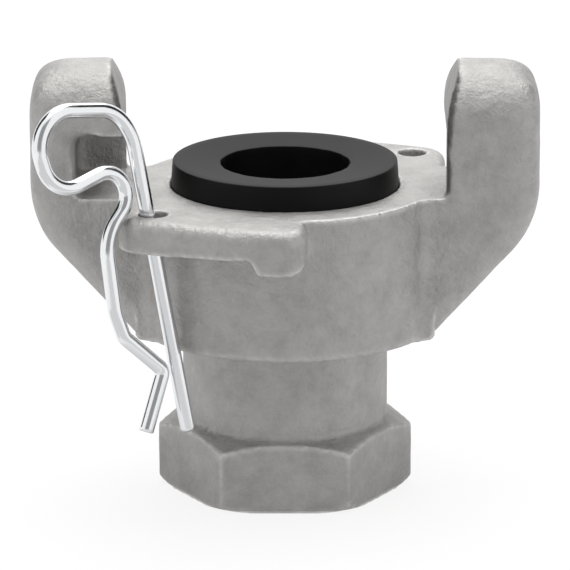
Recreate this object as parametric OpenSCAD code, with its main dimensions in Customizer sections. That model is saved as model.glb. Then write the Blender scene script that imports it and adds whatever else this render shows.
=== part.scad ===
// Claw hose coupling half with a threaded hexagon end, a face gasket and a spring safety clip.
// The origin is on the bore axis at the bottom of the hexagon. +Z points to the claws,
// and +X runs through the right claw. The head repeats after half a turn about Z.

/* [Pipe end] */
// Width of the hexagon across its flats
hex_af = 33; // [31:0.5:38]
// Height of the hexagon
hex_h = 11; // [8:0.5:16]
// Rounding of the hexagon's upright edges
hex_edge_r = 0.8; // [0.4:0.1:2]
// Radius at which the chamfer under the hexagon starts
hex_base_r = 17.2; // [16:0.1:18]
// Slope of the turned chamfers above and below the hexagon
hex_chamfer_angle = 27; // [15:1:40]
// Radius of the pipe thread's wall, at the thread's root
thread_r = 13.3; // [12:0.1:14]
// Depth of the pipe thread from the end face
thread_depth = 17; // [12:0.5:22]
// Countersink at the thread's mouth
thread_lead = 1; // [0.4:0.1:1.4]

/* [Neck and collar] */
// Outer diameter of the neck
neck_d = 30.5; // [29:0.1:33]
// Length of the neck between the hexagon and the collar
neck_l = 13.8; // [8:0.1:25]
// Outer diameter of the collar
collar_d = 45.2; // [42:0.1:46]
// Height of the collar, from the neck to the end face
collar_h = 21.5; // [18:0.1:26]
// Rounding of the collar's lower edge
collar_edge_r = 1; // [0.3:0.1:2]
// Fillet between the neck and its neighbours
neck_fillet = 1.2; // [0.5:0.1:2]
// Diameter of the air passage
passage_d = 19.2; // [15:0.1:21]

/* [Claws] */
// How far the nose of a claw stands out from the collar's side
claw_gap = 1.1; // [-0.6:0.1:3.4]
// Radial depth of a claw, from its nose to its back
claw_depth = 14; // [12.5:0.1:15]
// Height of a claw above the end face
claw_h = 18.5; // [16:0.1:22]
// Width of a claw and of the arm below it
claw_w = 19.8; // [16:0.1:22]
// Height at which the arm starts to bow inwards, above the end face
bow_start = 0.5; // [0.2:0.1:4]
// Rounding of the upright edges on a claw's back
back_edge_r = 4.2; // [2:0.1:5]
// Rounding of a claw's top outer corner
top_corner_r = 6.4; // [3:0.1:6.8]
// Rounding of a claw's top, from its front side to its back side
top_edge_r = 8.5; // [5:0.1:9.6]
// Radius of the lean on the nose's inner side
nose_lean_r = 18; // [14:1:30]
// Fillet in the corner between an arm and the collar
arm_fillet = 3; // [1:0.5:4]

/* [Claw slots] */
// Height of the slot under the nose
slot_h = 9.4; // [8:0.1:12]
// Thickness of the claw's back wall behind the slot
slot_back = 6.7; // [4:0.1:8]
// Thickness of the wall that closes the slot's end
slot_end = 3; // [2:0.1:5]
// Fillet in the slot's inner corners
slot_fillet = 1.4; // [0.4:0.1:2]

/* [Cam ramps] */
// How far a ramp reaches out beyond the middle of the safety hole
ramp_reach = 2.7; // [2:0.1:4]
// Thickness of a ramp at its boss
ramp_thick = 5.1; // [4:0.1:6]
// Thickness of a ramp at its thin end
ramp_thin = 4.4; // [3:0.1:5]
// Rounding of a ramp's top edge
ramp_edge_r = 1.5; // [0.5:0.1:2]
// Thickness of the stop lug at the end of a ramp
lug_thick = 6.6; // [5.5:0.1:8]
// Length of the stop lug
lug_l = 8.1; // [6:0.1:9]
// How far the lug passes the middle of the head
lug_over = 3.1; // [1:0.1:4]
// Rounding of the lug's lower corner
lug_corner_r = 2.5; // [1:0.1:3]
// Rounding of the lug's outer corner
lug_end_r = 2.8; // [2.2:0.1:3.4]
// Fillet between the lug's end and the collar
lug_fillet = 1; // [0.4:0.1:2]

/* [Safety holes] */
// Distance from the collar's side to the middle of a safety hole
hole_reach = 3.8; // [3.4:0.1:4.4]
// Angle of a safety hole from the claw beside it
hole_angle = 43.3; // [41:0.1:47]
// Radius of a safety hole
hole_r = 2.1; // [2:0.05:2.4]
// Radius of the boss around a safety hole
boss_r = 5; // [4.4:0.1:5.1]

/* [Gasket] */
// Outer diameter of the gasket at its top
gasket_d = 33.3; // [32:0.1:34]
// Flare of the gasket's side, from its top to the end face
gasket_flare = 0.25; // [0:0.05:0.5]
// Height of the gasket above the end face
gasket_proud = 3.6; // [2:0.1:5]
// Hollow of the gasket's top, from its rim to its hole
gasket_dish = 0.5; // [0:0.1:1]
// Width of the flat sealing rim
gasket_land = 1.2; // [0.6:0.1:2]
// Depth of the groove that holds the gasket
groove_depth = 5; // [4:0.1:7]
// Height of the groove's wide foot
foot_h = 2.4; // [1.5:0.1:3]
// How far the foot reaches out under the lip of the groove
foot_reach = 1.5; // [0.5:0.1:2]
// Clearance around the gasket in its groove
gasket_clear = 0.1; // [0.05:0.05:0.2]

/* [Safety clip] */
// Diameter of the clip's wire
wire_d = 2.2; // [2:0.1:2.5]
// Lean of the clip's straight leg from upright
clip_lean = 10; // [8:0.5:11]
// Turn of the clip about its straight leg, from the line through the claws
clip_turn = 37; // [33:1:45]
// Length of the straight leg below the hole
leg_below = 30.7; // [26:0.1:34]
// Height of the clip's loop above the hole
loop_top = 23.2; // [21:0.1:26]
// Reach of the clip's loop from the straight leg
loop_reach = 17.1; // [15:0.1:19]
// Depth of the wavy leg's last bend below the hole
wave_depth = 20.7; // [18:0.1:23]
// Length of the wavy leg's free end
free_end = 9.4; // [6:0.1:12]
// Slope of the free end from the straight leg
free_angle = 32; // [20:1:36]
// How far the straight leg stands off the hole's centre
leg_offset = 0.35; // [0:0.05:0.4]

/* [Hidden] */
$fn = 64;
arc_steps = 8;
far = 200;
through = 1;

neck_r = neck_d / 2;
collar_r = collar_d / 2;
passage_r = passage_d / 2;
claw_in = collar_r + claw_gap;
claw_r = claw_in + claw_depth;
wire_r = wire_d / 2;
// The straight runs of wire are thinner than its bends by a hair, and end a hair inside them
wire_step = 0.004;
wire_lap = 0.06;
// The claw's section is drawn wider than the claw by a hair a side, and its flat sides are cut to size
side_trim = 0.01;
collar_z = hex_h + neck_l;
face_z = collar_z + collar_h;
gasket_r = gasket_d / 2;
groove_r = gasket_r + gasket_flare + gasket_clear;
foot_r = groove_r + foot_reach;

// The bowed arm runs from the claw's back, round an arc with the claw's own depth as its radius,
// and then straight down to the collar's lower edge. arm_turn is where the straight part starts.
arc_to_edge = norm([claw_in - collar_r, bow_start + collar_h]);
arm_turn = 90 - acos(claw_depth / arc_to_edge) + atan((claw_in - collar_r) / (bow_start + collar_h));

// Middle of the safety hole beside the right claw
hole_pitch_r = collar_r + hole_reach;
ramp_r = hole_pitch_r + ramp_reach;
hole_x = hole_pitch_r * cos(hole_angle);
hole_y = hole_pitch_r * sin(hole_angle);

// Points of an arc about a centre, in equal steps of angle
function arc(centre, r, from, to, steps = arc_steps) =
    [for (i = [0:steps]) let (a = from + (to - from) * i / steps) centre + r * [cos(a), sin(a)]];

// Regular hexagon with corners on the X axis and rounded edges
function hex_outline(af, r) =
    [for (k = [0:5]) each arc((af / 2 - r) / cos(30) * [cos(60 * k), sin(60 * k)], r, 60 * k - 30, 60 * k + 30)];

module coupling_body() {
    color("#a3a09b")
    difference() {
        union() {
            pipe_end();
            neck_and_collar();
            for (turn = [0, 180]) rotate([0, 0, turn]) {
                arm();
                claw();
                cam_ramp();
                lug_corner();
            }
        }
        bore();
        for (turn = [0, 180]) rotate([0, 0, turn]) {
            claw_slot();
            safety_hole();
        }
    }
}

// Hexagon, cut by two turned cones that round off its corners above and below
module pipe_end() {
    corner_r = hex_af / 2 / cos(30);
    fall = tan(hex_chamfer_angle);
    intersection() {
        linear_extrude(hex_h) polygon(hex_outline(hex_af, hex_edge_r));
        rotate_extrude() polygon([
            [0, 0], [hex_base_r, 0], [corner_r, (corner_r - hex_base_r) * fall],
            [corner_r, hex_h - (corner_r - neck_r) * fall], [neck_r, hex_h], [0, hex_h]]);
    }
}

// Turned core: the neck with a fillet at each end, and the collar with a rounded lower edge
module neck_and_collar() {
    rotate_extrude() polygon(concat(
        [[0, hex_h - neck_fillet], [neck_r, hex_h - neck_fillet]],
        arc([neck_r + neck_fillet, collar_z - neck_fillet], neck_fillet, 180, 90),
        arc([collar_r - collar_edge_r, collar_z + collar_edge_r], collar_edge_r, -90, 0),
        [[collar_r, face_z], [0, face_z]]));
}

// Half of the claw's cross-section, counted outwards from the nose: a crowned back with round edges
function claw_section(inner) =
    let (
        side_y = claw_w / 2 + side_trim,
        edge_y = side_y - back_edge_r,
        edge_x = sqrt((claw_r - back_edge_r) ^ 2 - edge_y ^ 2),
        crown = asin(edge_y / (claw_r - back_edge_r)),
        shift = [claw_in, 0])
    [for (p = concat(
        [[inner, -side_y]],
        arc([edge_x, -edge_y], back_edge_r, -90, -crown),
        arc([0, 0], claw_r, -crown, crown),
        arc([edge_x, edge_y], back_edge_r, crown, 90),
        [[inner, side_y]])) p - shift];

// Arm under a claw: a bar of the claw's section that bows round an arc and runs in to the collar
module arm() {
    bow_z = face_z + bow_start;
    run = (bow_start + collar_h) / cos(arm_turn);
    foot_x = claw_in - run * sin(arm_turn);
    intersection() {
        translate([0, -claw_w / 2, collar_z]) cube([far, claw_w, collar_h + bow_start]);
        union() {
            translate([claw_in, 0, bow_z]) rotate([90, 0, 0]) rotate([0, 0, -arm_turn])
                rotate_extrude(angle = arm_turn) polygon(claw_section(claw_in));
            translate([claw_in, 0, bow_z]) rotate([0, arm_turn, 0])
                translate([0, 0, -run - claw_depth]) linear_extrude(run + claw_depth)
                    polygon(claw_section(claw_in));
        }
    }
    side_prism(claw_w) polygon([[foot_x, collar_z], [claw_in, bow_z], [claw_in, face_z], [foot_x, face_z]]);
    arm_fillets();
}

// Extrudes an outline drawn in X and Z along Y, centred
module side_prism(width) {
    rotate([90, 0, 0]) translate([0, 0, -width / 2]) linear_extrude(width) children();
}

// Concave fillets in the two corners between the arm's sides and the round collar
module arm_fillets() {
    y = claw_w / 2 + arm_fillet;
    x = sqrt((collar_r + arm_fillet) ^ 2 - y ^ 2);
    lean = atan2(y, x);
    bottom = arc([claw_in, face_z + bow_start], claw_depth, 0, -arm_turn);
    intersection() {
        for (side = [0, 1]) mirror([0, side, 0]) translate([0, 0, collar_z])
            linear_extrude(collar_h) polygon(concat(
                [[x - arm_fillet, 0], [x, claw_w / 2]],
                arc([x, y], arm_fillet, -90, lean - 180),
                [collar_r * 0.9 * [cos(lean), sin(lean)]]));
        side_prism(2 * claw_w) polygon(concat(
            [[0, face_z], [claw_r, face_z]], bottom, [[collar_r - collar_edge_r, collar_z], [0, collar_z]]));
    }
}

// Claw above the end face: its section from above, its side with the leaning nose and the round
// top corner, and its front with a top that is round from front to back, all met in one solid
module claw() {
    top_z = face_z + claw_h;
    lean_z = face_z + slot_h + 0.8;
    lean_top = asin((top_z - lean_z) / nose_lean_r);
    intersection() {
        translate([claw_in, 0, face_z]) linear_extrude(claw_h) polygon(claw_section(claw_in));
        side_prism(2 * claw_w) polygon(concat(
            [[claw_in, face_z]],
            arc([claw_in + nose_lean_r, lean_z], nose_lean_r, 180, 180 - lean_top),
            arc([claw_r - top_corner_r, top_z - top_corner_r], top_corner_r, 90, 0),
            [[claw_r, face_z]]));
        rotate([90, 0, 90]) linear_extrude(far) polygon(concat(
            [[-claw_w / 2, face_z - through], [claw_w / 2, face_z - through]],
            arc([claw_w / 2 - top_edge_r, top_z - top_edge_r], top_edge_r, 0, 90),
            arc([-claw_w / 2 + top_edge_r, top_z - top_edge_r], top_edge_r, 90, 180)));
    }
}

// Slot under the nose that takes the other half's ramp: open on one side, closed by a wall on the other
module claw_slot() {
    out = claw_r - slot_back;
    end_y = -claw_w / 2 + slot_end;
    intersection() {
        side_prism(2 * claw_w) polygon(concat(
            [[claw_in - through, face_z]],
            arc([out - slot_fillet, face_z + slot_fillet], slot_fillet, -90, 0),
            arc([out - slot_fillet, face_z + slot_h - slot_fillet], slot_fillet, 0, 90),
            [[claw_in - through, face_z + slot_h]]));
        translate([0, 0, face_z]) linear_extrude(slot_h) polygon(concat(
            [[claw_in - through, end_y]],
            arc([out - slot_fillet, end_y + slot_fillet], slot_fillet, -90, 0),
            [[out, claw_w], [claw_in - through, claw_w]]));
    }
}

// Outline of a ramp from above, drawn in by an amount: the boss, a tangent, the outer arc and the
// lug's round corner
function ramp_outline(inset) =
    let (
        tangent = hole_angle + acos((ramp_r - boss_r) / hole_pitch_r),
        corner_x = lug_end_r - lug_over,
        corner_y = sqrt((ramp_r - lug_end_r) ^ 2 - corner_x ^ 2),
        end = atan2(corner_y, corner_x))
    concat(
        [[0, 0], [hole_x + boss_r - inset, 0]],
        arc([hole_x, hole_y], boss_r - inset, 0, tangent),
        arc([0, 0], ramp_r - inset, tangent, end),
        arc([corner_x, corner_y], lug_end_r - inset, end, 180),
        [[-lug_over + inset, 0]]);

// Cam ramp with the boss of the safety hole at one end and the stop lug at the other
module cam_ramp() {
    lug_x = lug_l - lug_over;
    slant = lug_thick - ramp_thin;
    steps = 3;
    intersection() {
        hull() {
            translate([0, 0, face_z - lug_thick]) linear_extrude(lug_thick - ramp_edge_r)
                polygon(ramp_outline(0));
            for (i = [1:steps]) let (a = 90 * i / steps, d = ramp_edge_r * (1 - cos(a)))
                translate([0, 0, face_z - lug_thick]) linear_extrude(lug_thick - ramp_edge_r * (1 - sin(a)))
                    polygon(ramp_outline(d));
        }
        side_prism(far) polygon(concat(
            [[claw_r, face_z], [claw_r, face_z - ramp_thick], [hole_x + boss_r, face_z - ramp_thick],
             [lug_x, face_z - ramp_thin], [lug_x - slant / 2, face_z - lug_thick]],
            arc([lug_corner_r - lug_over, face_z - lug_thick + lug_corner_r], lug_corner_r, -90, -180),
            [[-lug_over, face_z]]));
    }
}

// Concave fillet in the upright corner between the lug's end and the round collar
module lug_corner() {
    x = -lug_over - lug_fillet;
    y = sqrt((collar_r + lug_fillet) ^ 2 - x ^ 2);
    side = atan2(y, x);
    translate([0, 0, face_z - lug_thick + lug_corner_r])
        linear_extrude(lug_thick - lug_corner_r - ramp_edge_r) polygon(concat(
            [[0, y]],
            arc([x, y], lug_fillet, 0, side - 180),
            [collar_r * 0.9 * [cos(side), sin(side)], [0, collar_r * 0.9]]));
}

module safety_hole() {
    translate([hole_x, hole_y, face_z - lug_thick - through])
        cylinder(r = hole_r, h = lug_thick + 2 * through);
}

// Thread bore, cone, air passage and gasket groove, cut from below and above
module bore() {
    translate([0, 0, -through]) cylinder(r = passage_r, h = face_z + 2 * through);
    cylinder(r = thread_r, h = thread_depth);
    translate([0, 0, -through])
        cylinder(r1 = thread_r + thread_lead + through, r2 = thread_r, h = thread_lead + through);
    translate([0, 0, thread_depth])
        cylinder(r1 = thread_r, r2 = passage_r, h = thread_r - passage_r);
    translate([0, 0, face_z - groove_depth]) cylinder(r = groove_r, h = groove_depth + through);
    translate([0, 0, face_z - groove_depth]) cylinder(r = foot_r, h = foot_h);
}

// Rubber sealing ring: a foot under the groove's lip, a flared side and a flat rim round a hollow top
module face_gasket() {
    base_z = face_z - groove_depth;
    top_z = face_z + gasket_proud;
    color("#2b2b2d")
    rotate_extrude() polygon([
        [passage_r, base_z], [foot_r - gasket_clear, base_z],
        [foot_r - gasket_clear, base_z + foot_h - gasket_clear],
        [groove_r - gasket_clear, base_z + foot_h - gasket_clear],
        [groove_r - gasket_clear, face_z], [gasket_r, top_z],
        [gasket_r - gasket_land, top_z], [passage_r, top_z - gasket_dish]]);
}

// Corners of the bent wire beside its straight leg, as shares of the loop's reach from the leg, of the
// loop's height above the hole or the wave's depth below it, and of the wire's diameter for the bend
// radius. The leg runs up, round the loop and back down in a wave.
function clip_corners() =
    let (
        loop = [[0, 0.605, 3.25], [0.106, 0.816, 2.8], [1, 1, 2.34], [0.9, 0.41, 2.2], [-0.35, 0.533, 1.66]],
        wave = [[0.46, 0.064, 3.3], [0.505, -0.48, 3.5], [0.465, -0.668, 1.15], [0.134, -1, 0.65]],
        last = [0.134 * loop_reach, -wave_depth, 0])
    concat(
        [[0, -leg_below, 0]],
        [for (c = loop) [c[0] * loop_reach, c[1] * loop_top, c[2] * wire_d]],
        [for (c = wave) [c[0] * loop_reach, c[1] * wave_depth, c[2] * wire_d]],
        [last + free_end * [sin(free_angle), -cos(free_angle), 0]]);

// Bent wire spring clip, hanging by its straight leg in one safety hole
module safety_clip() {
    p = clip_corners();
    color("#d4d6d9")
    translate([-hole_x - leg_offset, -hole_y, face_z - ramp_thick / 2])
        rotate([0, -clip_lean, 0]) rotate([90, 0, 180 + clip_turn])
            for (i = [1:len(p) - 1]) {
                wire_run(p[i - 1], p[i], bend_start(p, i - 1), bend_start(p, i));
                if (i < len(p) - 1) wire_bend(p[i - 1], p[i], p[i + 1]);
            }
}

function flat(p) = [p[0], p[1]];
function heading(a, b) = atan2(b[1] - a[1], b[0] - a[0]);
// Turn from one run of the wire to the next, between -180 and 180 degrees
function turn_at(a, b, c) = let (t = heading(b, c) - heading(a, b)) t > 180 ? t - 360 : t < -180 ? t + 360 : t;
// Length that a bend takes from the runs on both sides of its corner
function bend_start(p, i) =
    i == 0 || i == len(p) - 1 ? 0 : p[i][2] * tan(abs(turn_at(p[i - 1], p[i], p[i + 1])) / 2);

// Straight piece of wire between two corners, which ends a little inside the bend on each side
module wire_run(a, b, skip_a, skip_b) {
    start = skip_a > 0 ? skip_a - wire_lap : 0;
    end = norm(flat(b) - flat(a)) - (skip_b > 0 ? skip_b - wire_lap : 0);
    translate(concat(flat(a), 0)) rotate([0, 0, heading(a, b)]) translate([start, 0, 0])
        rotate([0, 90, 0]) cylinder(r = wire_r - wire_step, h = end - start);
}

// Bend of the wire at corner b, tangent to the runs on both sides
module wire_bend(a, b, c) {
    t = turn_at(a, b, c);
    side = sign(t);
    skip = b[2] * tan(abs(t) / 2);
    translate(concat(flat(b), 0)) rotate([0, 0, heading(a, b)]) translate([-skip, side * b[2], 0])
        rotate([0, 0, t > 0 ? -90 : 90 + t])
            rotate_extrude(angle = abs(t)) translate([b[2], 0]) circle(r = wire_r);
}

coupling_body();
face_gasket();
safety_clip();
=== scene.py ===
"""Visual model of a claw hose coupling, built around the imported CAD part.

The casting is the CAD skin on a fine grid with relaxed edges, and has a helical pipe thread in its
bore. The gasket is a turned profile and the safety clip a wire carried along its bent centreline.
"""
import math

import bmesh
import bpy
import numpy as np
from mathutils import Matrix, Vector


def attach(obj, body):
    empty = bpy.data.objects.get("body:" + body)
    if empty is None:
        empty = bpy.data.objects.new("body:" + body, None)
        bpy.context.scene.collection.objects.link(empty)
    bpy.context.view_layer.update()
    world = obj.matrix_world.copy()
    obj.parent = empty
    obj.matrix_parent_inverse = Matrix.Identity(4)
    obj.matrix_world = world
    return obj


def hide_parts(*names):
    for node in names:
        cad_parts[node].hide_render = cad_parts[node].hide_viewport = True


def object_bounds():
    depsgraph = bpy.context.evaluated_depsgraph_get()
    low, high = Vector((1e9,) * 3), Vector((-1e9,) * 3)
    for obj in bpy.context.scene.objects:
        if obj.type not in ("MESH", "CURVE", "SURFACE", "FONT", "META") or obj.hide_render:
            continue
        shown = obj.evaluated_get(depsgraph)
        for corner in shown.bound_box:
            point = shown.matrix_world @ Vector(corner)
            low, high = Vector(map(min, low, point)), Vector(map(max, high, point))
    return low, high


MM = 0.001
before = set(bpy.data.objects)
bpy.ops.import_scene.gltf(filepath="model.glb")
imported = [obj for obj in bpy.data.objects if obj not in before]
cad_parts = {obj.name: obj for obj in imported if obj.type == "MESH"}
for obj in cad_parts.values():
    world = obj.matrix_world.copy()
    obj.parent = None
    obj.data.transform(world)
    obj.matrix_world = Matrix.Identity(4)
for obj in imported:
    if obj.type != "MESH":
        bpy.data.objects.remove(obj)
cad_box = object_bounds()
scene = bpy.context.scene

# Sizes of the head in millimetres, which repeat those of the CAD part
FACE_Z = 46.3
HEAD_TOP = 64.8
CLAW_IN = 23.7
CLAW_W = 19.8
CLAW_TOP_R = 8.5
HOLE_XY = (19.213, 18.106)
RAMP_THICK = 5.1
WIRE_D = 2.2
# Grid of the casting's skin in mm, steps of its relaxing all over and in the soft zones, and the number
# of triangles that is kept
VOXEL = 0.34
RELAX_STEPS = 4
ZONE_STEPS = 160
CAST_TRIANGLES = 190000
# Foot of a nose's upright edge in mm, above its slot on the open side and by the end face on the other
NOSE_FOOT_OPEN, NOSE_FOOT_CLOSED = 56.6, 46.8
# Outward bend of the surface, in 1 / mm, at which wear and the painted shade of the noses' edges start and
# are full
WORN_FROM, WORN_TO = 0.12, 0.75
NOSE_SHADE_FROM, NOSE_SHADE_TO = 0.22, 0.4


# Meshes

def add_mesh(name, points, faces, body):
    """Puts numpy points in millimetres and their faces into a smooth mesh that rides on a body."""
    mesh = bpy.data.meshes.new(name)
    mesh.from_pydata((np.asarray(points) * MM).tolist(), [], faces)
    mesh.validate()
    mesh.shade_smooth()
    return add_piece(name, mesh, body)


def add_piece(name, mesh, body):
    """Puts a finished mesh into the scene as a piece of the object."""
    obj = bpy.data.objects.new(name, mesh)
    scene.collection.objects.link(obj)
    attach(obj, body)
    return obj


def grid_faces(rows, columns):
    """Quads of a grid whose points run along each row, with the last column joined to the first."""
    i, j = np.meshgrid(np.arange(rows - 1), np.arange(columns), indexing="ij")
    k = (j + 1) % columns
    below, above = i * columns, (i + 1) * columns
    quads = np.stack([below + j, below + k, above + k, above + j], -1)
    return quads.reshape(-1, 4).tolist()


def smooth_noise(points, cell, seed):
    """Value noise from -1 to 1: random values on a cubic lattice, blended by smoothstep between its
    eight nearest corners. points and cell are in millimetres."""
    p = np.asarray(points) / cell
    low = np.floor(p).astype(np.int64)
    t = p - low
    t = t * t * (3 - 2 * t)
    total = np.zeros(len(p))
    for corner in np.ndindex(2, 2, 2):
        c = low + corner
        h = (c[:, 0] * 73856093) ^ (c[:, 1] * 19349663) ^ (c[:, 2] * 83492791) ^ (seed * 2654435761)
        h = (h ^ (h >> 13)) * 1274126177 & 0x7FFFFFFF
        value = ((h ^ (h >> 16)) & 0xFFFF) / 32767.5 - 1
        weight = np.prod(np.where(np.array(corner) == 1, t, 1 - t), axis=1)
        total += value * weight
    return total


def read_points(mesh):
    """Points in millimetres and unit normals of a mesh's vertices."""
    points, normals = (np.empty(len(mesh.vertices) * 3, np.float32) for _ in range(2))
    mesh.vertices.foreach_get("co", points)
    mesh.vertex_normals.foreach_get("vector", normals)
    return points.reshape(-1, 3).astype(float) / MM, normals.reshape(-1, 3).astype(float)


def write_points(mesh, points):
    """Gives a mesh's vertices new places, in millimetres."""
    mesh.vertices.foreach_set("co", (points * MM).astype(np.float32).ravel())
    mesh.update()


def modified(mesh, *modifiers):
    """Copy of a mesh with modifiers applied, each given as its type and its settings."""
    obj = bpy.data.objects.new("in_work", mesh)
    scene.collection.objects.link(obj)
    for kind, settings in modifiers:
        modifier = obj.modifiers.new(kind.lower(), kind)
        for key, value in settings.items():
            setattr(modifier, key, value)
    graph = bpy.context.evaluated_depsgraph_get()
    result = bpy.data.meshes.new_from_object(obj.evaluated_get(graph))
    bpy.data.objects.remove(obj)
    return result


def smooth_step(value, low, high):
    """0 below low, 1 above high, and smoothstep between them."""
    t = np.clip((value - low) / (high - low), 0, 1)
    return t * t * (3 - 2 * t)


def nose_edges(points):
    """Weight from 0 to 1 of the upright edges of the claws' noses. On a slot's open side, where x and y
    have the same sign, the nose ends above the slot, and on the other it goes down to the end face. At
    its top the edge follows the quarter circle that rounds the claw."""
    x, y, z = np.abs(points[:, 0]), np.abs(points[:, 1]), points[:, 2]
    foot = np.where(points[:, 0] * points[:, 1] > 0, NOSE_FOOT_OPEN, NOSE_FOOT_CLOSED)
    rise = np.clip(z - (HEAD_TOP - CLAW_TOP_R), 0, CLAW_TOP_R)
    side = CLAW_W / 2 - CLAW_TOP_R + np.sqrt(CLAW_TOP_R ** 2 - rise ** 2)
    depth = x - CLAW_IN
    along_x = smooth_step(depth, -0.8, -0.5) * (1 - smooth_step(depth, 1.3, 2.8))
    along_z = smooth_step(z, foot, foot + 0.8) * (1 - smooth_step(z, HEAD_TOP - 1.8, HEAD_TOP - 0.2))
    return along_x * smooth_step(y, side - 2.4, side - 1.1) * along_z


def soft_zones(points):
    """Weight from 0 to 1 of the places that were ground round after casting: the outer top corners of
    the claws in full, and by a quarter the upright edges of their noses."""
    outer_x, upper_z = (26.5, 30), (50, 56)
    corner = smooth_step(np.abs(points[:, 0]), *outer_x) * smooth_step(points[:, 2], *upper_z)
    return np.maximum(corner, 0.25 * nose_edges(points))


def edge_ends(mesh):
    """Numbers of the first and of the second vertex of every edge."""
    ends = np.empty(len(mesh.edges) * 2, np.int32)
    mesh.edges.foreach_get("vertices", ends)
    return ends.reshape(-1, 2).T


def sum_around(first, second, values):
    """Sum of the values of each vertex's neighbours, over edges given by their two ends."""
    count = len(values)
    return np.bincount(first, values[second], count) + np.bincount(second, values[first], count)


def relax_zones(mesh, steps):
    """Rounds the soft zones and keeps their bulk. S moves each vertex towards the mean of its neighbours
    by half its weight, step by step, and the points p become S(p) + 0.9 S(p - S(p))."""
    points, _ = read_points(mesh)
    weight = soft_zones(points)
    first, second = edge_ends(mesh)
    near = (weight[first] > 0) | (weight[second] > 0)
    first, second = first[near], second[near]
    count = np.maximum(sum_around(first, second, np.ones(len(points))), 1)
    share = (0.5 * weight)[:, None]

    def smoothed(values):
        for _ in range(steps):
            total = np.stack([sum_around(first, second, values[:, i]) for i in range(3)], -1)
            values = values + share * (total / count[:, None] - values)
        return values

    soft = smoothed(points)
    write_points(mesh, soft + 0.9 * smoothed(points - soft))


def mark_edges(mesh):
    """Stores how sharply the surface bends outwards at each vertex, from 0 to 1. The bend is the mean over
    the vertex's edges of (change of normal . edge) / edge length squared, in 1 / mm, averaged twice with
    its neighbours. The noses' upright edges get a layer of painted shade, a dark band, instead of wear."""
    points, normals = read_points(mesh)
    first, second = edge_ends(mesh)
    step = points[second] - points[first]
    edge_bend = np.sum((normals[second] - normals[first]) * step, -1)
    edge_bend /= np.maximum(np.sum(step * step, -1), 1e-6)
    size = len(points)
    count = np.bincount(first, minlength=size) + np.bincount(second, minlength=size)
    bend = (np.bincount(first, edge_bend, size) + np.bincount(second, edge_bend, size)) / count
    for _ in range(2):
        bend = 0.5 * bend + 0.5 * sum_around(first, second, bend) / count
    nose = nose_edges(points)
    worn = (bend - WORN_FROM) / (WORN_TO - WORN_FROM) * (1 - nose)
    # Painted shade: a narrow dark band along the noses' upright edges
    nose_shade = (bend - NOSE_SHADE_FROM) / (NOSE_SHADE_TO - NOSE_SHADE_FROM) * nose
    for name, share in (("worn_edge", worn), ("painted_nose_shade", nose_shade)):
        layer = mesh.attributes.new(name, "FLOAT", "POINT")
        layer.data.foreach_set("value", np.clip(share, 0, 1).astype(np.float32))


def seal(mesh, reach=1e-7, outward=True):
    """Merges vertices nearer than reach, in metres, such as the repeated ring of a closed grid, and turns
    the faces outwards where outward is set."""
    bm = bmesh.new()
    bm.from_mesh(mesh)
    bmesh.ops.remove_doubles(bm, verts=bm.verts, dist=reach)
    if outward:
        bmesh.ops.recalc_face_normals(bm, faces=bm.faces)
    bm.to_mesh(mesh)
    bm.free()
    mesh.shade_smooth()


def cast_body():
    """The casting: the CAD skin on a grid of VOXEL, relaxed so that every edge gets the soft radius of
    an investment casting, and moved along its normals by two scales of noise, which fade out at the
    hexagon's foot. It stays in the CAD part's box."""
    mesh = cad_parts["coupling_body"].data.copy()
    seal(mesh, 1e-6, False)
    skin = modified(mesh, ("REMESH", {"mode": "VOXEL", "voxel_size": VOXEL * MM}),
                    ("SMOOTH", {"factor": 0.5, "iterations": RELAX_STEPS}))
    relax_zones(skin, ZONE_STEPS)
    points, normals = read_points(skin)
    coarse, fine, foot = (0.035, 3.1, 5), (0.02, 1.3, 9), 1.5
    height = sum(depth * smooth_noise(points, cell, seed) for depth, cell, seed in (coarse, fine))
    height *= np.clip(points[:, 2] / foot, 0, 1)
    write_points(skin, points + normals * height[:, None])
    skin = modified(skin, ("DECIMATE", {"ratio": CAST_TRIANGLES / (2 * len(skin.polygons))}))
    points, _ = read_points(skin)
    write_points(skin, np.clip(points, *(np.array(cad_box) / MM)))
    skin.name = "cast_body"
    skin.materials.clear()
    skin.shade_smooth()
    mark_edges(skin)
    body = add_piece("cast_body", skin, "coupling")
    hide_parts("coupling_body")
    return body


def pipe_thread():
    """Thread sleeve in the bore: radius as a function of the angle a and the height z, the root line of
    a 1:16 taper less the ridge, whose height follows a clipped triangle wave of (z / pitch - a / turn).
    Its back is a plain cylinder inside the casting's wall."""
    pitch, depth, root, low, high = 25.4 / 14, 1.4, 13.28, 0.9, 16.9
    taper, run_in, run_out, wall = 1 / 32, 0.8, 2.2, 0.25
    rows, columns = 133, 128
    z, a = np.meshgrid(np.linspace(low, high, rows), np.linspace(0, 2 * np.pi, columns, endpoint=False),
                       indexing="ij")
    phase = (z / pitch - a / (2 * np.pi)) % 1
    ridge = np.clip((1 - np.abs(2 * phase - 1)) * 1.25 - 0.1, 0, 1)
    fade = np.clip((z - low) / run_in, 0, 1) * np.clip((high - z) / run_out, 0, 1)
    r = root - (z - low) * taper - depth * ridge * fade
    inner = np.stack([r * np.cos(a), r * np.sin(a), z], -1)
    back = (root + wall) * np.stack([np.cos(a[0]), np.sin(a[0])], -1)
    ends = [np.column_stack([back, np.full(columns, height)]) for height in (high, low)]
    points = np.concatenate([inner.reshape(-1, 3), ends[0], ends[1], inner[0]])
    obj = add_mesh("pipe_thread", points, grid_faces(rows + 3, columns), "coupling")
    seal(obj.data)
    return obj


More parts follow.
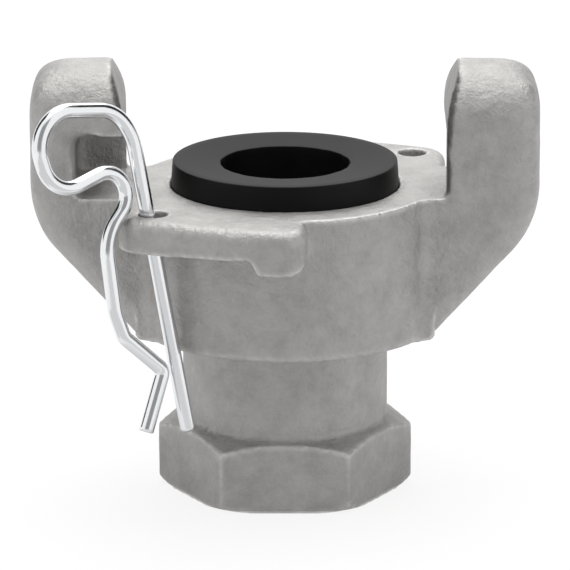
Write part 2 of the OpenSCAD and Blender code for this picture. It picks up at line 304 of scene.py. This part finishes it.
def rounded(corners, steps=5):
    """Points of a closed profile with each corner (x, y, radius) rounded by an arc: the arc's centre lies
    on the corner's bisector, and its ends are where it touches both sides."""
    c = np.array([p[:2] for p in corners], float)
    out = []
    for i, corner in enumerate(corners):
        radius = corner[2]
        before, after = c[i - 1] - c[i], c[(i + 1) % len(c)] - c[i]
        before, after = before / np.linalg.norm(before), after / np.linalg.norm(after)
        half = math.acos(np.clip(before @ after, -1, 1)) / 2
        reach = radius / math.tan(half)
        centre = c[i] + (before + after) / np.linalg.norm(before + after) * radius / math.sin(half)
        start, end = c[i] + before * reach - centre, c[i] + after * reach - centre
        turn = math.atan2(start[0] * end[1] - start[1] * end[0], start @ end)
        t = np.linspace(0, turn, steps)[:, None]
        side = np.array([-start[1], start[0]])
        out.append(centre + start * np.cos(t) + side * np.sin(t))
    return np.concatenate(out)


def split_long(loop, longest):
    """Adds points to the long sides of a closed profile."""
    out = []
    for p, q in zip(loop, np.roll(loop, -1, axis=0)):
        n = max(1, int(math.ceil(np.linalg.norm(q - p) / longest)))
        out.append(p + (q - p) * (np.arange(n) / n)[:, None])
    return np.concatenate(out)


def gasket_ring():
    """The gasket: a closed profile turned about the bore, whose hole edge wanders by a few hundredths
    where it was trimmed. The radius of a point near the hole is its own plus a sum of sines of the
    angle."""
    base, top, foot_top, trim_depth = FACE_Z - 5, FACE_Z + 3.6, FACE_Z - 2.7, 2.5
    hole_r, rim_r, foot_r, flare, land, dish = 9.6, 16.65, 18.3, 0.25, 1.2, 0.5
    profile = split_long(rounded([
        (hole_r, base, 0.3), (foot_r, base, 0.3), (foot_r, foot_top, 0.3), (rim_r + flare, foot_top, 0.15),
        (rim_r + flare, FACE_Z, 0.3), (rim_r, top, 0.22), (rim_r - land, top, 1.2),
        (hole_r, top - dish, 0.14)]), 0.9)
    rows, columns = len(profile) + 1, 192
    profile = np.concatenate([profile, profile[:1]])
    a = np.linspace(0, 2 * np.pi, columns, endpoint=False)
    wander = 0.05 * np.sin(3 * a + 1) + 0.035 * np.sin(11 * a) + 0.03 * np.sin(23 * a + 2)
    near_hole = np.clip(hole_r + 1 - profile[:, 0], 0, 1) * (profile[:, 1] > top - trim_depth)
    r = profile[:, :1] + near_hole[:, None] * wander
    z = np.repeat(profile[:, 1:], columns, axis=1)
    points = np.stack([r * np.cos(a), r * np.sin(a), z], -1).reshape(-1, 3)
    obj = add_mesh("gasket_ring", points, grid_faces(rows, columns), "coupling")
    seal(obj.data)
    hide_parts("face_gasket")
    return obj


def bent_line(corners, step):
    """Points and unit tangents of a flat line of straight runs joined by arcs. Each corner is (x, y, bend
    radius), and each arc touches the runs on both sides of its corner."""
    c = np.array([p[:2] for p in corners], float)
    points, tangents, start = [], [], c[0]
    for i in range(1, len(c)):
        ahead = (c[i] - c[i - 1]) / np.linalg.norm(c[i] - c[i - 1])
        last = i == len(c) - 1
        if not last:
            after = (c[i + 1] - c[i]) / np.linalg.norm(c[i + 1] - c[i])
            turn = math.atan2(ahead[0] * after[1] - ahead[1] * after[0], ahead @ after)
            skip = corners[i][2] * math.tan(abs(turn) / 2)
        end = c[i] - ahead * (0 if last else skip)
        n = max(2, int(np.linalg.norm(end - start) / step))
        share = np.linspace(0, 1, n, endpoint=last)[:, None]
        points.append(start + (end - start) * share)
        tangents.append(np.repeat(ahead[None], n, 0))
        if last:
            break
        side = math.copysign(1, turn) * np.array([-ahead[1], ahead[0]])
        centre = end + side * corners[i][2]
        n = max(4, int(abs(turn) * corners[i][2] / step * 2))
        t = np.linspace(0, abs(turn), n, endpoint=False)[:, None]
        points.append(centre + corners[i][2] * (ahead * np.sin(t) - side * np.cos(t)))
        tangents.append(ahead * np.cos(t) + side * np.sin(t))
        start = c[i] + after * skip
    return np.concatenate(points), np.concatenate(tangents)


def turned(axis, degrees):
    """Matrix of a turn about the X, Y or Z axis."""
    i, j = [(1, 2), (2, 0), (0, 1)]["XYZ".index(axis)]
    m = np.eye(3)
    c, s = math.cos(math.radians(degrees)), math.sin(math.radians(degrees))
    m[i, i], m[i, j], m[j, i], m[j, j] = c, -s, s, c
    return m


def clip_corners():
    """Corners (x, y, bend radius) of the wire beside its straight leg, as shares of the loop's reach from
    the leg, of the loop's height or the wave's depth, and of the wire's diameter, as in the CAD part."""
    leg_below, loop_top, loop_reach, wave_depth, free_end = 30.7, 23.2, 17.1, 20.7, 9.4
    free_angle = math.radians(32)
    loop = [(0, 0.605, 3.25), (0.106, 0.816, 2.8), (1, 1, 2.34), (0.9, 0.41, 2.2), (-0.35, 0.533, 1.66)]
    wave = [(0.46, 0.064, 3.3), (0.505, -0.48, 3.5), (0.465, -0.668, 1.15), (0.134, -1, 0.65)]
    tip_x = 0.134 * loop_reach + free_end * math.sin(free_angle)
    tip_y = -wave_depth - free_end * math.cos(free_angle)
    return ([(0, -leg_below, 0)] + [(x * loop_reach, y * loop_top, r * WIRE_D) for x, y, r in loop]
            + [(x * loop_reach, y * wave_depth, r * WIRE_D) for x, y, r in wave] + [(tip_x, tip_y, 0)])


def wire_clip():
    """The clip: a circle of the wire's radius carried along the bent line. A point of ring s at angle p is
    centre(s) + r (cos p * in-plane normal + sin p * plane normal). Both ends are cut off square with a
    small chamfer and closed in their middle."""
    wire_r, chamfer, columns = WIRE_D / 2, 0.18, 32
    # Place of the straight leg in its hole, its lean, and the turn of the bent legs' plane about it
    leg_shift, lean, turn_about_leg = 0.35, 10, 37
    line, tangent = bent_line(clip_corners(), 0.5)
    radius = np.full(len(line), wire_r)
    caps = [(0, 1e-3), (0, 0.7), (0, wire_r - chamfer), (chamfer, wire_r)]
    ahead = [line[0] + tangent[0] * d for d, _ in caps]
    behind = [line[-1] - tangent[-1] * d for d, _ in reversed(caps)]
    line = np.concatenate([ahead, line[1:-1], behind])
    tangent = np.concatenate([np.repeat(tangent[:1], 4, 0), tangent[1:-1], np.repeat(tangent[-1:], 4, 0)])
    radius = np.concatenate([[r for _, r in caps], radius[1:-1], [r for _, r in reversed(caps)]])
    p = np.linspace(0, 2 * np.pi, columns, endpoint=False)
    normal = np.stack([-tangent[:, 1], tangent[:, 0]], -1)
    flat = line[:, None, :] + (radius[:, None] * np.cos(p))[..., None] * normal[:, None, :]
    depth = radius[:, None] * np.sin(p)
    local = np.concatenate([flat, depth[..., None]], -1).reshape(-1, 3)
    place = np.array([-HOLE_XY[0] - leg_shift, -HOLE_XY[1], FACE_Z - RAMP_THICK / 2])
    turn = turned("Y", -lean) @ turned("Z", 180 + turn_about_leg) @ turned("X", 90)
    obj = add_mesh("wire_clip", local @ turn.T + place, grid_faces(len(line), columns), "clip")
    seal(obj.data, 3e-6)
    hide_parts("safety_clip")
    return obj


# Materials

def colour(hex_value):
    """Linear colour of an sRGB hex value."""
    parts = [int(hex_value[i:i + 2], 16) / 255 for i in (1, 3, 5)]
    return tuple(p / 12.92 if p <= 0.04045 else ((p + 0.055) / 1.055) ** 2.4 for p in parts) + (1.0,)


def add_node(tree, kind, links=None, sockets=None, **settings):
    """Adds a node with its settings, its socket values and the links into it."""
    node = tree.nodes.new(kind)
    for key, value in settings.items():
        setattr(node, key, value)
    for key, value in (sockets or {}).items():
        node.inputs[key].default_value = value
    for key, source in (links or {}).items():
        tree.links.new(source, node.inputs[key])
    return node


def start_material(name):
    """New material with an empty node tree and its Object coordinates."""
    material = bpy.data.materials.new(name)
    material.use_nodes = True
    tree = material.node_tree
    tree.nodes.clear()
    place = add_node(tree, "ShaderNodeTexCoord").outputs["Object"]
    return material, tree, place


def finish_material(tree, shader):
    """Joins a shader to the material's output."""
    add_node(tree, "ShaderNodeOutputMaterial", {"Surface": shader.outputs[0]})


def per_mm(size):
    """Noise scale on Object coordinates, in metres, for a feature of that many millimetres."""
    return 1 / (size * MM)


def blasted_stainless():
    """Stainless steel, investment cast and bead blasted: a mid grey with a faint warm mottle, a broad
    soft sheen and a matt grain with shallow pits. The real grain is about 0.1 mm and the real pits about
    0.5 mm, and both are drawn coarser so that they show. Handling has rubbed the outward edges brighter,
    and a narrow dark band of painted shade runs along the noses' upright edges."""
    material, tree, place = start_material("blasted_cast_stainless")
    mottle = add_node(tree, "ShaderNodeTexNoise", {"Vector": place}, {"Scale": per_mm(4.5), "Detail": 8.0,
                                                                      "Roughness": 0.74})
    tone = add_node(tree, "ShaderNodeValToRGB", {"Fac": mottle.outputs["Fac"]})
    tone.color_ramp.elements[0].position, tone.color_ramp.elements[1].position = 0.3, 0.7
    tone.color_ramp.elements[0].color = colour("#A6A5A3")
    tone.color_ramp.elements[1].color = colour("#C6C4C2")
    sheen = add_node(tree, "ShaderNodeMapRange", {"Value": mottle.outputs["Fac"]},
                     {"From Min": 0.3, "From Max": 0.7, "To Min": 0.58, "To Max": 0.68})
    grain = add_node(tree, "ShaderNodeTexNoise", {"Vector": place}, {"Scale": per_mm(0.5), "Detail": 3.0,
                                                                     "Roughness": 0.65})
    pits = add_node(tree, "ShaderNodeTexNoise", {"Vector": place}, {"Scale": per_mm(1.4), "Detail": 4.0,
                                                                    "Roughness": 0.6})
    coarse = add_node(tree, "ShaderNodeBump", {"Height": pits.outputs["Fac"]},
                      {"Strength": 0.85, "Distance": 0.42 * MM})
    fine = add_node(tree, "ShaderNodeBump", {"Height": grain.outputs["Fac"], "Normal": coarse.outputs[0]},
                    {"Strength": 0.75, "Distance": 0.16 * MM})
    worn = add_node(tree, "ShaderNodeAttribute", attribute_name="worn_edge")
    patchy = add_node(tree, "ShaderNodeMapRange", {"Value": pits.outputs["Fac"]},
                      {"From Min": 0.35, "From Max": 0.6, "To Min": 0.35, "To Max": 1.0})
    rubbed = add_node(tree, "ShaderNodeMath", {0: worn.outputs["Fac"], 1: patchy.outputs["Result"]},
                      operation="MULTIPLY")
    # Sockets 0, 6 and 7 of a colour mix are its factor and its two colours, and output 2 its result
    face = add_node(tree, "ShaderNodeMix", {0: rubbed.outputs[0], 6: tone.outputs["Color"]},
                    {7: colour("#D6D5D3")}, data_type="RGBA")
    # Painted shade: the noses' upright edges are darkened to a narrow dark band
    nose_shade = add_node(tree, "ShaderNodeAttribute", attribute_name="painted_nose_shade")
    skin = add_node(tree, "ShaderNodeMix", {0: nose_shade.outputs["Fac"], 6: face.outputs[2]},
                    {7: colour("#6E6D6B")}, data_type="RGBA")
    gloss = add_node(tree, "ShaderNodeMath", {0: rubbed.outputs[0], 2: sheen.outputs["Result"]}, {1: -0.08},
                     operation="MULTIPLY_ADD")
    shader = add_node(tree, "ShaderNodeBsdfPrincipled",
                      {"Base Color": skin.outputs[2], "Roughness": gloss.outputs[0],
                       "Normal": fine.outputs[0]}, {"Metallic": 1.0})
    finish_material(tree, shader)
    return material


def moulded_rubber():
    """Nitrile rubber, moulded in a blasted tool: near black and dull, greyer where it is seen along its
    surface, with a fine dusty grain. The real grain is under 0.1 mm and is drawn coarser so that it
    shows."""
    material, tree, place = start_material("moulded_nitrile_rubber")
    grain = add_node(tree, "ShaderNodeTexNoise", {"Vector": place}, {"Scale": per_mm(0.4), "Detail": 4.0})
    dust = add_node(tree, "ShaderNodeTexNoise", {"Vector": place}, {"Scale": per_mm(6), "Detail": 4.0})
    tone = add_node(tree, "ShaderNodeValToRGB", {"Fac": dust.outputs["Fac"]})
    tone.color_ramp.elements[0].position, tone.color_ramp.elements[1].position = 0.3, 0.75
    tone.color_ramp.elements[0].color = colour("#080808")
    tone.color_ramp.elements[1].color = colour("#0E0E0F")
    bump = add_node(tree, "ShaderNodeBump", {"Height": grain.outputs["Fac"]},
                    {"Strength": 0.3, "Distance": 0.03 * MM})
    shader = add_node(tree, "ShaderNodeBsdfPrincipled",
                      {"Base Color": tone.outputs["Color"], "Normal": bump.outputs[0]},
                      {"Roughness": 0.5, "IOR": 1.25})
    finish_material(tree, shader)
    return material


def bright_zinc():
    """Drawn spring wire with bright zinc plating: pale and mirror-like, with a slightly uneven surface
    and gloss."""
    material, tree, place = start_material("bright_zinc_plate")
    uneven = add_node(tree, "ShaderNodeTexNoise", {"Vector": place}, {"Scale": per_mm(1.6), "Detail": 3.0})
    gloss = add_node(tree, "ShaderNodeMapRange", {"Value": uneven.outputs["Fac"]},
                     {"From Min": 0.3, "From Max": 0.7, "To Min": 0.12, "To Max": 0.2})
    bump = add_node(tree, "ShaderNodeBump", {"Height": uneven.outputs["Fac"]},
                    {"Strength": 0.12, "Distance": 0.05 * MM})
    shader = add_node(tree, "ShaderNodeBsdfPrincipled",
                      {"Roughness": gloss.outputs["Result"], "Normal": bump.outputs[0]},
                      {"Base Color": colour("#EEF0F2"), "Metallic": 1.0})
    finish_material(tree, shader)
    return material


# Stage: white backdrop and floor, lamp, cards that only reflections show, and camera

def shows_white(tree):
    """1 for the rays that see the backdrop as plain white: camera, glossy and transmission rays."""
    ray = add_node(tree, "ShaderNodeLightPath")
    camera_ray, glossy_ray, through_ray = (ray.outputs[f"Is {kind} Ray"]
                                           for kind in ("Camera", "Glossy", "Transmission"))
    either = add_node(tree, "ShaderNodeMath", {0: camera_ray, 1: glossy_ray}, operation="MAXIMUM")
    any_ray = add_node(tree, "ShaderNodeMath", {0: either.outputs[0], 1: through_ray}, operation="MAXIMUM")
    return any_ray.outputs[0]


def white_world():
    """White all round for what the camera, metal and glass see, and a soft grey fill for the rest."""
    world = bpy.data.worlds.new("studio")
    world.use_nodes = True
    tree = world.node_tree
    tree.nodes.clear()
    fill = add_node(tree, "ShaderNodeBackground", sockets={"Strength": 0.7})
    white = add_node(tree, "ShaderNodeBackground", sockets={"Strength": 1.0})
    for background in (fill, white):
        background.inputs["Color"].default_value = (1, 1, 1, 1)
    mix = add_node(tree, "ShaderNodeMixShader",
                   {0: shows_white(tree), 1: fill.outputs[0], 2: white.outputs[0]})
    add_node(tree, "ShaderNodeOutputWorld", {"Surface": mix.outputs[0]})
    scene.world = world


def plain_plane(name, centre, right, up, material):
    """Flat rectangle about a centre, from its two half sides, as part of the stage."""
    centre, right, up = (np.array(v, float) for v in (centre, right, up))
    mesh = bpy.data.meshes.new(name)
    signs = ((-1, -1), (1, -1), (1, 1), (-1, 1))
    mesh.from_pydata([(centre + a * right + b * up).tolist() for a, b in signs], [], [(0, 1, 2, 3)])
    mesh.materials.append(material)
    obj = bpy.data.objects.new(name, mesh)
    scene.collection.objects.link(obj)
    return obj


def white_floor():
    """Matt white card, part of whose light is its own, so that it shows white and keeps a faint shadow."""
    material, tree, _ = start_material("white_card")
    card = add_node(tree, "ShaderNodeBsdfDiffuse", sockets={"Color": colour("#F8F8F8")})
    glow = add_node(tree, "ShaderNodeEmission", sockets={"Strength": 1.03})
    part = add_node(tree, "ShaderNodeMath", {0: shows_white(tree)}, {1: 0.8}, operation="MULTIPLY")
    mix = add_node(tree, "ShaderNodeMixShader",
                   {0: part.outputs[0], 1: card.outputs[0], 2: glow.outputs[0]})
    finish_material(tree, mix)
    return plain_plane("floor", (0, 0, 0), (4, 0, 0), (0, 4, 0), material)


def reflected_card(name, strength, centre, right, up):
    """Flat grey light that only reflections show."""
    material, tree, _ = start_material(name)
    finish_material(tree, add_node(tree, "ShaderNodeEmission", sockets={"Strength": strength}))
    card = plain_plane(name, centre, right, up, material)
    card.visible_camera = card.visible_diffuse = card.visible_shadow = False
    return card


def studio_sides():
    """What the metal mirrors besides white, in metres: a grey room behind the camera with a grey mat
    before the head, and a dark wall on each side, which darkens the claws' outer corners and lines the
    wire. The walls lean inwards at their tops."""
    reflected_card("room_behind_camera", 0.31, (0, -1.0, 0.7), (0.6, 0, 0), (0, 0, 0.7))
    reflected_card("mat_before_head", 0.7, (0, -0.52, 0.0002), (0.11, 0, 0), (0, 0.5, 0))
    for name, side in (("wall_left", -1), ("wall_right", 1)):
        reflected_card(name, 0.02, (side * 0.55, 0.3, 0.55), (0, 0.3, 0), (side * -0.1, 0, 0.44))


def contact_shade():
    """Grey ring on the floor about the hexagon's foot, which only reflections show: the soft dark of the
    part's own contact shadow, as the hexagon mirrors it."""
    shade = reflected_card("contact_shade", 1.0, (0, 0, 0.0004), (0.05, 0, 0), (0, 0.05, 0))
    tree = shade.data.materials[0].node_tree
    place = add_node(tree, "ShaderNodeTexCoord").outputs["Object"]
    radius = add_node(tree, "ShaderNodeVectorMath", {0: place}, operation="LENGTH")
    strength = add_node(tree, "ShaderNodeMapRange", {"Value": radius.outputs["Value"]},
                        {"From Min": 0.02, "From Max": 0.05, "To Min": 0.5, "To Max": 0.92})
    tree.links.new(strength.outputs["Result"], tree.nodes["Emission"].inputs["Strength"])


def softbox(name, centre, aim, width, height, radiance):
    """Area lamp of a given radiance, aimed at a point: its power is radiance x pi x area."""
    lamp = bpy.data.lights.new(name, "AREA")
    lamp.shape = "RECTANGLE"
    lamp.size, lamp.size_y = width, height
    lamp.energy = radiance * math.pi * width * height
    obj = bpy.data.objects.new(name, lamp)
    look = np.array(aim, float) - np.array(centre, float)
    obj.rotation_mode = "QUATERNION"
    obj.rotation_quaternion = Vector(look).to_track_quat("-Z", "Y")
    obj.location = centre
    scene.collection.objects.link(obj)


def camera():
    """Camera 0.9 m from the head, which looks down by 15.6 degrees along +Y. Its lens is the focal length
    of the photograph's fitted view, in pixels of the picture's width."""
    down, distance, aim_z, focal, picture = math.radians(15.59), 0.9, 0.03052, 6042.8, 570
    data = bpy.data.cameras.new("camera")
    data.sensor_width = 36
    data.lens = data.sensor_width * focal / picture
    data.clip_start, data.clip_end = 0.05, 20
    obj = bpy.data.objects.new("camera", data)
    obj.location = (0, -distance * math.cos(down), aim_z + distance * math.sin(down))
    obj.rotation_euler = (math.pi / 2 - down, 0, 0)
    scene.collection.objects.link(obj)
    scene.camera = obj


# The object and its studio

steel, rubber, zinc = blasted_stainless(), moulded_rubber(), bright_zinc()
for make, finish in ((cast_body, steel), (pipe_thread, steel), (gasket_ring, rubber), (wire_clip, zinc)):
    make().data.materials.append(finish)

white_world()
white_floor()
studio_sides()
contact_shade()
softbox("overhead", (0, 0.25, 0.75), (0, 0, 0.04), 0.66, 1.0, 1.98)
camera()
scene.view_settings.view_transform = "Standard"
